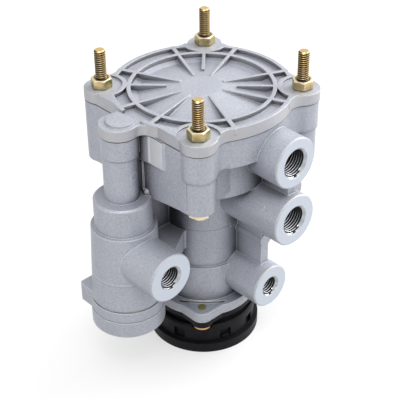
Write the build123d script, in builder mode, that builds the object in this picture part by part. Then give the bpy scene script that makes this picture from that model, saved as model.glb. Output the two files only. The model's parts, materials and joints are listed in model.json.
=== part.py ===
from build123d import *
import os
from math import atan2, cos, degrees, pi, radians, sin, sqrt

# Trailer control valve, millimetres. Z = 0 is the top of the four cover nuts, the middle of the bolt
# square lies on the Z axis, the ports in a column face -Y and the side cylinder stands on the -X side.

# Clearances
running_gap = 0.08
seat_gap = 0.3
fixed_gap = 0.05
hole_gap = 0.5

# Cover bolts and nuts
bolt_pitch = 97.0
bolt_r = 4.0
bolt_above_nut = 20.8
bolt_head_height = 5.8
hex_across_flats = 13.0
nut_height = 6.8
bolt_end_chamfer = 0.9
shank_relief = 0.2
bolt_head_turn = 12.0
nut_turns = (15.0, 8.0, -8.0, 15.0)
nut_face_r = 6.1
nut_cone_r = 8.0
nut_cone_height = 1.1

# Cover
spot_face_z = -nut_height
rim_above_spot = 1.3
cover_thickness = 9.1
cover_r = 63.4
ear_r = 12.5
ear_blend_r = 12.0
ear_neck = 0.6
spot_face_r = 14.2
rim_width = 2.9
ring_outer_r = 51.5
ring_width = 2.8
channel_depth = 3.2
bowl_wall_depth = 3.6
bowl_edge_r = 44.0
bowl_edge_depth = 4.8
bowl_flat_r = 14.0
bowl_flat_depth = 0.4
rib_width = 2.2
flank_rib_turn = 21.5
lobe_rib_turn = 14.0
flank_rib_r = 15.5
stud_rib_r = 24.0
rib_bump = 0.7
channel_rib_width = 3.0
pocket_wall = 3.0
lobe_pocket_x = -64.5
lobe_pocket_width = 19.0
lobe_pocket_shift = 1.0
lobe_disc_shift = 1.5
lobe_r = 13.2
lobe_disc_r = 9.5
lobe_blend_r = 6.0
spigot_depth = 2.4
spigot_wall = 3.0

# Housing
housing_inset = 0.7
band_height = 21.0
housing_r = 52.5
housing_height = 50.4
housing_foot = 2.0
column_r = 10.75
column_height = 46.2
column_blend_r = 5.0
rear_column_r = 12.3
side_wall_x = -59.5
side_flat_half = 45.0
side_pad_proud = 1.3
side_pad_y = (-26.5, -7.0)
side_pad_edge = 1.5
side_pad_drop = 21.6
side_rib_proud = 1.3
side_rib_y = (-6.2, -4.4)
side_foot_y = (-40.5, -13.0)
side_foot_drop = 3.4
side_foot_depth = 8.0
housing_bore_r = 44.0
housing_floor = 6.0

# Side tube and side cylinder
side_x = -72.5
side_y = 2.0
tube_r = 12.1
tube_collar_r = 12.8
tube_collar_height = 15.4
tube_bore_r = 5.0
side_ring_r = 20.2
side_ring_top = -63.5
side_ring_height = 22.2
side_ring_edge = 1.2
side_top_r = 23.0
side_bottom_r = 25.3
side_band_r = 26.0
side_band_top = -145.0
side_band_height = 9.3
side_groove_depth = 0.7
side_groove_height = 1.0
side_bore_r = 15.0
side_lower_bore_r = 18.5
side_roof = 4.5
side_step_z = -95.0
side_lug_x = -95.5
side_lug_y = 28.3
side_lug_top = -140.0
side_lug_width = 14.0
side_lug_corner_r = 3.0

# End cap of the side cylinder
cap_r = 26.4
cap_height = 13.7
cap_joint = 0.3
cap_edge = 1.6
cap_spigot_height = 7.5
cap_recess_r = 12.0
cap_recess_depth = 5.0

# Main cylinder and bottom flange
main_r = 28.75
main_step_z = -139.5
main_lower_r = 31.0
flange_top = -169.3
flange_thickness = 7.7
flange_half = 35.8
flange_corner_r = 8.0
flange_round_r = 38.7
pocket_depth = 1.9
pocket_rim = 1.8
pocket_inner_r = 31.6
pocket_arc_r = 104.0
screw_radial = 36.4
screw_r = 3.0
main_bore_r = 23.0
seat_web_z = -100.0
seat_web_thickness = 4.0
seat_r = 13.0
seat_lip_height = 1.2
seat_lip_width = 1.6
guide_bore_r = 25.0
guide_bore_length = 35.0

# Ports: column of three in front, one on the side cylinder, one to the right
column_x = 9.6
port_right_y = -12.0
port_edge = 0.8
port_lead = 1.0
port_top = dict(face=-80.0, z=-37.2, boss_r=18.6, thread_r=10.2, depth=17.0, drill_r=6.0)
port_middle = dict(face=-81.4, z=-82.1, boss_r=19.1, thread_r=10.2, depth=17.0, drill_r=8.0)
port_lower = dict(face=-61.0, z=-150.5, boss_r=16.5, thread_r=7.2, depth=14.0, drill_r=4.0)
port_side = dict(face=-46.0, z=-107.6, boss_r=18.0, thread_r=8.2, depth=15.0, drill_r=6.0)
port_right = dict(face=76.0, z=-108.0, boss_r=17.0, thread_r=10.2, depth=17.0, drill_r=8.0)

# Webs between the front ports
web_x = 10.8
web_thickness = 7.2
upper_web_y = -76.5
lower_web_y = -53.0
web_boss_r = 5.0
web_boss_y = -54.0
web_boss_z = -113.0

# Duct between side cylinder and main cylinder, with the wall that stands on it
duct_top = -109.0
duct_height = 15.0
duct_front_y = -10.5
duct_flare = (-54.5, -27.0)
duct_back_y = 16.0
duct_bore_r = 5.5
duct_web_y = 5.5
duct_web_thickness = 6.0
side_ball_y = -8.0
side_ball_z = -62.0
side_ball_r = 2.6

# Silencer and its guard
silencer_flange = 3.7
silencer_lug_drop = 3.8
silencer_lug_r = 8.2
silencer_neck_r = 34.6
silencer_skirt_r = 38.8
silencer_shoulder_drop = 10.4
silencer_shoulder_edge = 1.2
silencer_wall = 2.2
silencer_skirt_length = 25.0
silencer_mouth_r = 30.0
screw_head_r = 6.75
screw_head_height = 3.5
screw_head_gap = 0.9
screw_head_edge = 0.8
screw_show = 0.8
guard_r = 41.8
guard_height = 7.7
guard_drop = 8.0
guard_wall = 3.4
guard_bar = 3.0
guard_bars = 8
guard_hub_r = 9.0
guard_ring_r = 24.0
guard_bar_height = 4.0
guard_foot = 1.0
window_sill = 0.8
window_height = 8.4
window_width = 8.8
window_half_turn = 18.3
tab_width = 6.0
tab_thickness = 1.6
tab_hook = 2.4
collar_gap = 1.0
flap_plate_drop = 13.0
flap_plate_thickness = 2.5
flap_plate_hole_r = 20.0
flap_r = 25.0
flap_thickness = 1.8
flap_stem_r = 2.4
flap_hub_r = 5.0
flap_spokes = 4
flap_spoke_width = 3.0
flap_button = 1.2

# Pistons and valve
exhaust_gap = 2.0
upper_piston_rim = 9.5
upper_piston_web = 3.0
upper_hub_r = 9.0
relay_top = -60.0
relay_head = 10.0
relay_stem_r = 10.5
relay_stem_bore_r = 8.5
valve_r = 17.5
valve_hole_r = 8.0
valve_thickness = 3.2
sleeve_r = 10.5
sleeve_bore_r = 8.0
sleeve_length = 44.0
sleeve_plate_r = 18.5
sleeve_plate = 1.6
ring_section = 2.5
ring_room = 0.15
cover_seal_outer_r = 50.0
tube_seal_outer_r = 8.5
piston_wall = 6.5
relay_roof = 6.0
guide_neck_r = 15.0
guide_neck_top = -122.0
guide_head = 7.0
guide_waist_r = 20.0
guide_length = 29.5
guide_waist_height = 7.0
guide_mouth_r = 19.0
sleeve_seal_z = -128.0
circlip_opening = 8.0
circlip_thickness = 1.5
circlip_bite = 1.2
circlip_width = 3.0
spring_wire = 2.2
main_spring_wire = 3.0
main_spring_r = 32.0
main_spring_turns = 2.5
valve_spring_r = 17.0
valve_spring_turns = 3.5
side_head = 9.0
side_stem_r = 6.0
side_land = 6.0
side_spring_r = 9.5
side_spring_turns = 4.5
coil_steps = 14
coil_end_room = 0.5

# Places that follow from the sizes above
rim_z = spot_face_z + rim_above_spot
parting_z = rim_z - cover_thickness
housing_bottom = parting_z - housing_height
column_bottom = parting_z - column_height
bolt_places = [(x * bolt_pitch / 2, y * bolt_pitch / 2) for x in (-1, 1) for y in (-1, 1)]
bolt_radial = bolt_pitch / sqrt(2)
side_bottom = side_band_top - side_band_height
flange_bottom = flange_top - flange_thickness
pocket_floor = flange_top - pocket_depth
guide_bore_top = flange_bottom + guide_bore_length
housing_floor_z = column_bottom + housing_floor
ring_inner_r = ring_outer_r - ring_width
bolt_turns = (45, 135, 225, 315)
window_turns = [quarter + step * window_half_turn for quarter in (0, 90, 180, 270) for step in (-1, 1)]
front_flanks = (45 - flank_rib_turn, 45 + flank_rib_turn, 135 - flank_rib_turn)
bump_turns = (*front_flanks, 225 + flank_rib_turn, 315 - flank_rib_turn, 315 + flank_rib_turn)
flank_turns = (*bump_turns, 180 - lobe_rib_turn, 180 + lobe_rib_turn)
spigot_r = housing_bore_r - fixed_gap
upper_piston_top = parting_z - spigot_depth - seat_gap
upper_piston_bottom = upper_piston_top - upper_piston_rim
upper_web_z = upper_piston_top - upper_piston_web
relay_bottom = relay_top - relay_head
seat_z = seat_web_z - seat_web_thickness - seat_lip_height
valve_top = seat_z - seat_gap
relay_rim_z = valve_top + exhaust_gap
sleeve_top = valve_top - valve_thickness
guide_shoulder = guide_bore_top - seat_gap
guide_foot = guide_shoulder - guide_length
side_bore_top = side_ring_top - side_roof
side_piston_top = side_bore_top - seat_gap
side_land_top = side_step_z - seat_gap
cap_spigot_top = side_bottom + cap_spigot_height
cap_seal_z = side_bottom + 3.0
guide_groove_places = (guide_shoulder - 3.5, guide_foot + 9.0)
cap_top = side_bottom - cap_joint
silencer_top = flange_bottom
silencer_under = silencer_top - silencer_flange
silencer_shoulder = silencer_top - silencer_shoulder_drop
silencer_skirt_bottom = silencer_top - silencer_skirt_length
flap_plate_z = silencer_top - flap_plate_drop
window_bottom = silencer_skirt_bottom + window_sill
window_top = window_bottom + window_height
guard_bottom = silencer_skirt_bottom - guard_drop
lug_under = silencer_under - silencer_lug_drop


def cover_outline(inset=0.0):
    """Round disc joined to the four bolt ears, hollow between them but for the flat on the side of the tube."""
    with BuildSketch() as outline:
        Circle(cover_r - inset)
        with Locations(((side_wall_x + inset) / 2, 0)):
            Rectangle(-side_wall_x - inset, 2 * side_flat_half)
        with Locations(*bolt_places):
            Circle(ear_r - inset)
        with PolarLocations(bolt_radial / 2, len(bolt_turns), start_angle=bolt_turns[0]):
            Rectangle(bolt_radial, 2 * ear_neck * (ear_r - inset))
        corners = [
            v
            for v in outline.vertices()
            if abs(v.center().length - cover_r + inset) < 0.01 and abs(abs(v.center().X) - abs(v.center().Y)) < 2 * ear_r
        ]
        fillet(corners, ear_blend_r + inset)
    return outline.sketch


def flange_outline(inset=0.0):
    """Rounded square on its bolt corners, joined to a round flange."""
    with BuildSketch() as outline:
        RectangleRounded(2 * (flange_half - inset), 2 * (flange_half - inset), flange_corner_r - inset)
        Circle(flange_round_r - inset)
    return outline.sketch


def corner_pocket(turn):
    """Pocket in one corner of the bottom flange, closed inwards by one long arc."""
    half = flange_half - pocket_rim
    with BuildSketch() as pocket:
        RectangleRounded(2 * half, 2 * half, flange_corner_r - pocket_rim)
        with PolarLocations(pocket_arc_r - pocket_inner_r, 1, start_angle=turn + 180):
            Circle(pocket_arc_r, mode=Mode.SUBTRACT)
    return pocket.sketch


def flange_rim():
    """Outline of the bottom flange with its four corner pockets left open."""
    with BuildSketch() as rim:
        add(flange_outline())
        for turn in bolt_turns:
            add(corner_pocket(turn), mode=Mode.SUBTRACT)
    return rim.sketch


def seal_ring(name, outer_r, z, centre=(0.0, 0.0), section=ring_section):
    """Square-cut ring round a vertical axis, its middle at height z."""
    with BuildPart() as seal:
        with BuildSketch(Plane((*centre, z - section / 2))) as profile:
            Circle(outer_r)
            Circle(outer_r - section, mode=Mode.SUBTRACT)
        extrude(amount=section)
    seal.part.label = name
    return seal.part


def coil_spring(name, mean_r, wire, low, high, turns, centre=(0.0, 0.0)):
    """Square-wire spring between two heights, its helix drawn in short straight steps."""
    climb = high - low - wire - 2 * coil_end_room
    steps = round(turns * coil_steps)
    points = []
    for step in range(steps + 1):
        turn = 2 * pi * turns * step / steps
        points.append((mean_r * cos(turn), mean_r * sin(turn), low + wire / 2 + coil_end_room + climb * step / steps))
    with BuildPart() as spring:
        with BuildLine() as path:
            Polyline(*points)
        with BuildSketch(Plane(origin=points[0], x_dir=(1, 0, 0), z_dir=path.line % 0)):
            Rectangle(wire, wire)
        sweep(path=path.line, transition=Transition.RIGHT)
    placed = Pos(centre[0], centre[1], 0) * spring.part
    placed.label = name
    return placed


def circle_edges(builder, radius, axis, place):
    """Round edges of one radius whose centres lie at a given place along an axis."""
    index = "XYZ".index(axis)
    return [
        edge
        for edge in builder.edges().filter_by(GeomType.CIRCLE)
        if abs(edge.radius - radius) < 0.001 and abs(tuple(edge.arc_center)[index] - place) < 0.001
    ]


def column_corners(plan):
    """Hollow corners where the walls of the bolt columns run into the round housing."""
    return [v for v in plan.vertices() if abs(v.center().length - housing_r) < 0.01 and v.center().X > side_wall_x / 2]


def port_plane(port, across, along):
    """Plane of a port's face, its origin on the port's axis and its normal pointing out of the mouth."""
    if along == "Y":
        return Plane(origin=(across, port["face"], port["z"]), x_dir=(1, 0, 0), z_dir=(0, -1, 0))
    return Plane(origin=(port["face"], across, port["z"]), x_dir=(0, 1, 0), z_dir=(1, 0, 0))


def add_boss(port, across, root, along="Y"):
    """Round port boss from its machined face back to its root in the casting."""
    face = port_plane(port, across, along)
    with BuildSketch(face) as edge:
        Circle(port["boss_r"] - port_edge)
    extrude(edge.sketch, amount=-port_edge, taper=-45)
    with BuildSketch(face.offset(-port_edge)) as section:
        Circle(port["boss_r"])
    extrude(section.sketch, amount=port_edge - abs(port["face"] - root))


def cut_port(port, across, reach, along="Y"):
    """Threaded mouth with a short lead, then the drilled passage into the chamber behind it."""
    face = port_plane(port, across, along)
    with BuildSketch(face) as lead:
        Circle(port["thread_r"] + port_lead)
    extrude(lead.sketch, amount=-port_lead, taper=45, mode=Mode.SUBTRACT)
    with BuildSketch(face) as thread:
        Circle(port["thread_r"])
    extrude(thread.sketch, amount=-port["depth"], mode=Mode.SUBTRACT)
    with BuildSketch(face) as drill:
        Circle(port["drill_r"])
    extrude(drill.sketch, amount=-abs(port["face"] - reach), mode=Mode.SUBTRACT)


def bore(radius, top, bottom, centre=(0.0, 0.0)):
    """Vertical round bore between two heights."""
    with BuildSketch(Plane((*centre, top))) as section:
        Circle(radius)
    extrude(section.sketch, amount=bottom - top, mode=Mode.SUBTRACT)


def post(radius, top, bottom, centre=(0.0, 0.0), end_radius=None):
    """Vertical round post between two heights, tapering where an end radius is given."""
    height = top - bottom
    taper = 0 if end_radius is None else degrees(atan2(radius - end_radius, height))
    with BuildSketch(Plane((*centre, top))) as section:
        Circle(radius)
    extrude(section.sketch, amount=-height, taper=taper)


side_axis = (side_x, side_y)
screw_places = [
    (screw_radial * cos(radians(turn)), screw_radial * sin(radians(turn))) for turn in (45, 135, 225, 315)
]

# Cast body
with BuildPart() as valve_body:
    with BuildSketch(Plane.XY.offset(parting_z)):
        add(cover_outline(housing_inset))
    extrude(amount=-band_height)
    with BuildSketch(Plane.XY.offset(parting_z)) as housing_plan:
        Circle(housing_r)
        with Locations(*bolt_places):
            Circle(column_r)
        with PolarLocations(bolt_radial / 2, 4, start_angle=45):
            Rectangle(bolt_radial, 2 * column_r)
        with Locations((side_wall_x / 2, 0)):
            Rectangle(-side_wall_x, bolt_pitch)
        fillet(column_corners(housing_plan), column_blend_r)
    extrude(amount=-column_height)
    post(rear_column_r, parting_z, column_bottom, bolt_places[1])
    post(housing_r, column_bottom, housing_bottom)
    post(housing_r, housing_bottom, housing_bottom - housing_foot, end_radius=housing_r - housing_foot)
    # Side wall: pad with sloped edges, thin rib beside the tube, and foot that slopes down to the ring
    with BuildSketch(Plane.XY.offset(parting_z)):
        with BuildLine():
            Polyline(
                (side_wall_x + side_pad_proud, side_pad_y[0] - side_pad_edge),
                (side_wall_x, side_pad_y[0] - side_pad_edge),
                (side_wall_x - side_pad_proud, side_pad_y[0]),
                (side_wall_x - side_pad_proud, side_pad_y[1]),
                (side_wall_x, side_pad_y[1] + side_pad_edge / 2),
                (side_wall_x + side_pad_proud, side_pad_y[1] + side_pad_edge / 2),
                close=True,
            )
        make_face()
    extrude(amount=-side_pad_drop)
    with BuildSketch(Plane.XY.offset(parting_z - tube_collar_height)):
        with Locations((side_wall_x, sum(side_rib_y) / 2)):
            Rectangle(2 * side_rib_proud, side_rib_y[1] - side_rib_y[0])
    extrude(amount=tube_collar_height - column_height)
    with BuildSketch(Plane.YZ.offset(side_wall_x)):
        with BuildLine():
            Polyline(
                (side_foot_y[0], column_bottom + side_foot_drop),
                (side_foot_y[0], column_bottom),
                (side_foot_y[1], column_bottom - side_foot_drop),
                (side_y, column_bottom - side_foot_drop),
                (side_y, column_bottom + side_foot_drop),
                close=True,
            )
        make_face()
    extrude(amount=side_foot_depth)

    post(tube_r, parting_z, side_ring_top, side_axis)
    post(tube_collar_r, parting_z, parting_z - tube_collar_height, side_axis)
    with BuildSketch(Plane.XY.offset(parting_z)):
        with Locations(((side_x + side_wall_x) / 2, side_y)):
            Rectangle(side_wall_x - side_x, tube_r)
    extrude(amount=-column_height)
    side_ring_bottom = side_ring_top - side_ring_height
    post(side_ring_r - side_ring_edge, side_ring_top, side_ring_top - side_ring_edge, side_axis, side_ring_r)
    post(side_ring_r, side_ring_top - side_ring_edge, side_ring_bottom, side_axis)
    post(side_top_r, side_ring_bottom, side_band_top, side_axis, side_bottom_r)
    post(side_band_r, side_band_top - side_groove_height, side_bottom, side_axis)
    post(side_bottom_r - side_groove_depth, side_band_top, side_band_top - side_groove_height, side_axis)

    post(main_r, column_bottom, main_step_z)
    post(main_lower_r, main_step_z, flange_bottom)
    with BuildSketch(Plane.XY.offset(pocket_floor)):
        add(flange_outline())
    extrude(amount=flange_bottom - pocket_floor)
    # Rim of the flange round its four corner pockets
    with BuildSketch(Plane.XY.offset(pocket_floor)):
        add(flange_rim())
    extrude(amount=pocket_depth)

    add_boss(port_top, column_x, -housing_bore_r + 2)
    add_boss(port_middle, column_x, 0)
    add_boss(port_lower, column_x, 0)
    add_boss(port_side, side_x, side_y)
    add_boss(port_right, port_right_y, 0, "X")
    with BuildSketch(Plane.XZ):
        with Locations((web_x, (port_top["z"] + port_middle["z"]) / 2)):
            Rectangle(web_thickness, port_top["z"] - port_middle["z"])
    extrude(amount=-upper_web_y)
    with BuildSketch(Plane.XZ):
        with Locations((web_x, (port_middle["z"] + port_lower["z"]) / 2)):
            Rectangle(web_thickness, port_middle["z"] - port_lower["z"])
    extrude(amount=-lower_web_y)
    with BuildSketch(Plane.XZ):
        with Locations((web_x, web_boss_z)):
            Circle(web_boss_r)
    extrude(amount=-web_boss_y)

    with BuildSketch(Plane.XY.offset(duct_top)):
        with BuildLine():
            Polyline(
                (0, duct_front_y),
                (-main_r, duct_front_y),
                duct_flare,
                (side_x, side_y - side_top_r + 2),
                (side_x, duct_back_y),
                (0, duct_back_y),
                close=True,
            )
        make_face()
    extrude(amount=-duct_height)
    with BuildSketch(Plane.XY.offset(column_bottom)):
        with Locations((side_x / 2, duct_web_y + duct_web_thickness / 2)):
            Rectangle(-side_x, duct_web_thickness)
    extrude(amount=duct_top - column_bottom)
    with BuildSketch(Plane.XY.offset(side_lug_top)):
        with Locations((side_lug_x + side_lug_width / 2, (side_y + side_lug_y) / 2)):
            RectangleRounded(side_lug_width, side_lug_y - side_y, side_lug_corner_r)
    extrude(amount=side_bottom - side_lug_top)
    with Locations((side_wall_x, side_ball_y, side_ball_z)):
        Sphere(side_ball_r)

    bore(housing_bore_r, parting_z, housing_floor_z)
    bore(main_bore_r, housing_floor_z, seat_web_z)
    bore(seat_r, seat_web_z, seat_z)
    with BuildSketch(Plane.XY.offset(seat_web_z - seat_web_thickness)):
        Circle(main_bore_r)
        Circle(seat_r + seat_lip_width, mode=Mode.SUBTRACT)
    extrude(amount=-seat_lip_height, mode=Mode.SUBTRACT)
    bore(main_bore_r, seat_z, guide_bore_top)
    bore(guide_bore_r, guide_bore_top, flange_bottom)
    bore(tube_bore_r, parting_z, side_bore_top, side_axis)
    bore(side_bore_r, side_bore_top, side_step_z, side_axis)
    bore(side_lower_bore_r, side_step_z, side_bottom, side_axis)
    with BuildSketch(Plane.YZ):
        with Locations((side_y / 2, duct_top - duct_height / 2)):
            Circle(duct_bore_r)
    extrude(amount=side_x, mode=Mode.SUBTRACT)
    cut_port(port_top, column_x, -housing_bore_r + 6)
    cut_port(port_middle, column_x, -main_bore_r / 2)
    cut_port(port_lower, column_x, -guide_bore_r / 2)
    cut_port(port_side, side_x, side_y)
    cut_port(port_right, port_right_y, main_bore_r / 2, "X")
    for place in bolt_places:
        bore(bolt_r + hole_gap, parting_z, column_bottom, place)
    for place in screw_places:
        bore(screw_r + fixed_gap, pocket_floor, flange_bottom, place)
    bore(guide_bore_r + circlip_bite + fixed_gap, guide_foot, guide_foot - circlip_thickness - 2 * fixed_gap)
    for centre, outer_r in (((0.0, 0.0), cover_seal_outer_r), (side_axis, tube_seal_outer_r)):
        with BuildSketch(Plane((*centre, parting_z))) as groove:
            Circle(outer_r + ring_room)
            Circle(outer_r - ring_section - ring_room, mode=Mode.SUBTRACT)
        extrude(groove.sketch, amount=-(ring_section + ring_room), mode=Mode.SUBTRACT)
valve_body.part.label = "valve_body"

# Top cover
with BuildPart() as top_cover:
    with BuildSketch(Plane.XY.offset(parting_z)) as cover_plan:
        add(cover_outline())
        with Locations(side_axis):
            Circle(lobe_r)
        inner_corners = [
            v
            for v in cover_plan.vertices()
            if abs(v.center().X - side_x) < lobe_r + 2 and abs(v.center().Y - side_y) < lobe_r + 2
        ]
        fillet(inner_corners, lobe_blend_r)
    extrude(amount=cover_thickness - rim_above_spot)
    # Rim, ring and land between them stand above the ear faces
    with BuildSketch(Plane.XY.offset(spot_face_z)):
        add(cover_outline())
        for place in bolt_places:
            with Locations(place):
                Circle(spot_face_r, mode=Mode.SUBTRACT)
    extrude(amount=rim_above_spot)
    with BuildSketch(Plane.XY.offset(spot_face_z)):
        with Locations((side_x + lobe_disc_shift, side_y)):
            Circle(lobe_disc_r)
    extrude(amount=rim_above_spot)

    # Channel between ring and rim, left standing at the flank ribs and the bolt ears
    with BuildSketch(Plane.XY.offset(rim_z)):
        Circle(cover_r - rim_width)
        with Locations((lobe_pocket_x / 2, side_y - lobe_pocket_shift)):
            Rectangle(-lobe_pocket_x, lobe_pocket_width)
        Circle(ring_outer_r, mode=Mode.SUBTRACT)
        with Locations(*bolt_places):
            Circle(spot_face_r + pocket_wall, mode=Mode.SUBTRACT)
        for turn in flank_turns:
            with PolarLocations(cover_r / 2, 1, start_angle=turn):
                Rectangle(cover_r, channel_rib_width, mode=Mode.SUBTRACT)
    extrude(amount=-channel_depth, mode=Mode.SUBTRACT)

    # Bowl inside the ring, with the ribs put back in it
    with BuildSketch(Plane.XZ):
        with BuildLine():
            Polyline(
                (0, rim_z + 1),
                (ring_inner_r, rim_z + 1),
                (ring_inner_r, rim_z - bowl_wall_depth),
                (bowl_edge_r, rim_z - bowl_edge_depth),
                (bowl_flat_r, rim_z - bowl_flat_depth),
                (0, rim_z - bowl_flat_depth),
                close=True,
            )
        make_face()
    revolve(axis=Axis.Z, mode=Mode.SUBTRACT)
    with BuildSketch(Plane.XY.offset(rim_z)):
        for turns, start in ((flank_turns, flank_rib_r), (bolt_turns, stud_rib_r)):
            for turn in turns:
                with PolarLocations((start + ring_inner_r + 1) / 2, 1, start_angle=turn):
                    Rectangle(ring_inner_r + 1 - start, rib_width)
    extrude(amount=-(bowl_edge_depth + 1))
    with BuildSketch(Plane.XY.offset(rim_z)):
        for turn in bump_turns:
            with PolarLocations(cover_r + rib_bump - channel_rib_width / 2, 1, start_angle=turn):
                Circle(channel_rib_width / 2)
    extrude(amount=-cover_thickness / 2)
    for place in bolt_places:
        bore(bolt_r + hole_gap, rim_z, parting_z, place)
    # Locating spigot in the housing bore
    with BuildSketch(Plane.XY.offset(parting_z)):
        Circle(spigot_r)
        Circle(spigot_r - spigot_wall, mode=Mode.SUBTRACT)
    extrude(amount=-spigot_depth)
top_cover.part.label = "top_cover"

# Nuts, one group of four
with BuildPart() as nut:
    with BuildSketch():
        RegularPolygon(hex_across_flats / 2, 6, major_radius=False)
    extrude(amount=-nut_height)
    with BuildSketch(Plane.XZ):
        with BuildLine():
            Polyline(
                (bolt_r + fixed_gap, -nut_height),
                (nut_face_r, -nut_height),
                (nut_cone_r, -nut_height + nut_cone_height),
                (nut_cone_r, -nut_cone_height),
                (nut_face_r, 0),
                (bolt_r + fixed_gap, 0),
                close=True,
            )
        make_face()
    revolve(axis=Axis.Z, mode=Mode.INTERSECT)
with BuildPart() as clamp_nuts:
    for place, turn in zip(bolt_places, nut_turns):
        add(Pos(place[0], place[1], 0) * Rot(0, 0, turn) * nut.part)
clamp_nuts.part.label = "clamp_nuts"

# Bolts, one group of four, heads under the columns
with BuildPart() as clamp_bolts:
    for place in bolt_places:
        with BuildSketch(Plane((*place, column_bottom))) as head:
            RegularPolygon(hex_across_flats / 2, 6, major_radius=False, rotation=bolt_head_turn)
        extrude(head.sketch, amount=-bolt_head_height)
        post(bolt_r - shank_relief, 0, column_bottom, place)
        post(bolt_r, bolt_above_nut, 0, place)
    chamfer(circle_edges(clamp_bolts, bolt_r, "Z", bolt_above_nut), bolt_end_chamfer)
clamp_bolts.part.label = "clamp_bolts"

# Screws that hold the silencer, one group of four
with BuildPart() as silencer_screws:
    for place in screw_places:
        with BuildSketch(Plane((*place, lug_under))) as head:
            Circle(screw_head_r)
        extrude(head.sketch, amount=-screw_head_height)
        with BuildSketch(Plane((*place, lug_under))) as shank:
            Circle(screw_r)
        extrude(shank.sketch, amount=pocket_floor + screw_show - lug_under)
    chamfer(circle_edges(silencer_screws, screw_head_r, "Z", lug_under - screw_head_height), screw_head_edge)
silencer_screws.part.label = "silencer_screws"

# Silencer: flange, lugs for the screws, skirt with windows and the plate that the flap closes
with BuildPart() as exhaust_silencer:
    with BuildSketch(Plane.XY.offset(silencer_top)):
        add(flange_outline())
    extrude(amount=-silencer_flange)
    for place in screw_places:
        post(silencer_lug_r, silencer_under, lug_under, place)
    post(silencer_neck_r, silencer_under, silencer_shoulder)
    post(silencer_skirt_r, silencer_shoulder, silencer_skirt_bottom)
    chamfer(circle_edges(exhaust_silencer, silencer_skirt_r, "Z", silencer_shoulder), silencer_shoulder_edge)
    bore(silencer_neck_r - silencer_wall, silencer_under, silencer_shoulder)
    bore(silencer_skirt_r - silencer_wall, silencer_shoulder - silencer_wall, silencer_skirt_bottom)
    for place in screw_places:
        post(silencer_lug_r, silencer_under, lug_under, place)
        bore(screw_head_r + screw_head_gap, lug_under, lug_under - screw_head_height - screw_head_gap, place)
    with BuildSketch(Plane.XY.offset(flap_plate_z)):
        Circle(silencer_skirt_r - silencer_wall / 2)
        for place in screw_places:
            with Locations(place):
                Circle(screw_head_r + screw_head_gap, mode=Mode.SUBTRACT)
    extrude(amount=-flap_plate_thickness)
    with BuildSketch(Plane.XY.offset(flap_plate_z)):
        Circle(flap_plate_hole_r)
        Circle(flap_hub_r, mode=Mode.SUBTRACT)
        with PolarLocations(flap_plate_hole_r / 2, flap_spokes):
            Rectangle(flap_plate_hole_r, flap_spoke_width, mode=Mode.SUBTRACT)
    extrude(amount=-flap_plate_thickness, mode=Mode.SUBTRACT)
    bore(flap_stem_r + fixed_gap, flap_plate_z, flap_plate_z - flap_plate_thickness)
    bore(silencer_mouth_r, silencer_top, silencer_shoulder - silencer_wall)
    for place in screw_places:
        bore(screw_r + hole_gap, silencer_top, lug_under, place)
    # Windows between the solid panels under the four corners
    window_middle = (window_top + window_bottom) / 2
    for turn in window_turns:
        side = Plane(origin=(0, 0, window_middle), x_dir=(-sin(radians(turn)), cos(radians(turn)), 0),
                     z_dir=(cos(radians(turn)), sin(radians(turn)), 0))
        with BuildSketch(side) as window:
            Rectangle(window_width, window_top - window_bottom)
        extrude(window.sketch, amount=silencer_skirt_r + 1, mode=Mode.SUBTRACT)
exhaust_silencer.part.label = "exhaust_silencer"

# Guard ring that snaps on under the silencer, with its grid
with BuildPart() as silencer_guard:
    guard_top = guard_bottom + guard_height
    post(guard_r, guard_top, guard_bottom)
    bore(guard_r - guard_wall, guard_top, guard_bottom)
    with BuildSketch(Plane.XY.offset(guard_bottom + guard_bar_height)):
        Circle(guard_ring_r + guard_bar)
        Circle(guard_ring_r, mode=Mode.SUBTRACT)
        Circle(guard_hub_r)
        with PolarLocations(guard_r / 2 - guard_wall / 4, guard_bars):
            Rectangle(guard_r - guard_wall / 2, guard_bar)
    extrude(amount=-guard_bar_height + guard_foot)
    # Collar inside the skirt, with a hook into every other window
    tab_r = silencer_skirt_r - silencer_wall - seat_gap
    hook_low = window_bottom + seat_gap
    with BuildSketch(Plane.XY.offset(guard_bottom + guard_foot)):
        Circle(tab_r)
        Circle(tab_r - tab_thickness, mode=Mode.SUBTRACT)
    extrude(amount=flap_plate_z - flap_plate_thickness - collar_gap - guard_bottom - guard_foot)
    for low, high, reach in (
        (guard_bottom + guard_foot, guard_top, guard_r - guard_wall / 2),
        (hook_low, hook_low + tab_hook, silencer_skirt_r - seat_gap),
    ):
        with BuildSketch(Plane.XY.offset(low)):
            with PolarLocations((tab_r - tab_thickness + reach) / 2, len(window_turns) // 2, window_turns[0]):
                Rectangle(reach - tab_r + tab_thickness, tab_width)
        extrude(amount=high - low)
silencer_guard.part.label = "silencer_guard"

# Flap under the silencer's plate, with its stem through the hub
with BuildPart() as exhaust_flap:
    flap_top = flap_plate_z - flap_plate_thickness - fixed_gap
    post(flap_r, flap_top, flap_top - flap_thickness)
    post(flap_stem_r, flap_plate_z + flap_button, flap_top)
    post(flap_stem_r + flap_button, flap_plate_z + flap_button + fixed_gap, flap_plate_z + fixed_gap)
exhaust_flap.part.label = "exhaust_flap"

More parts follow.
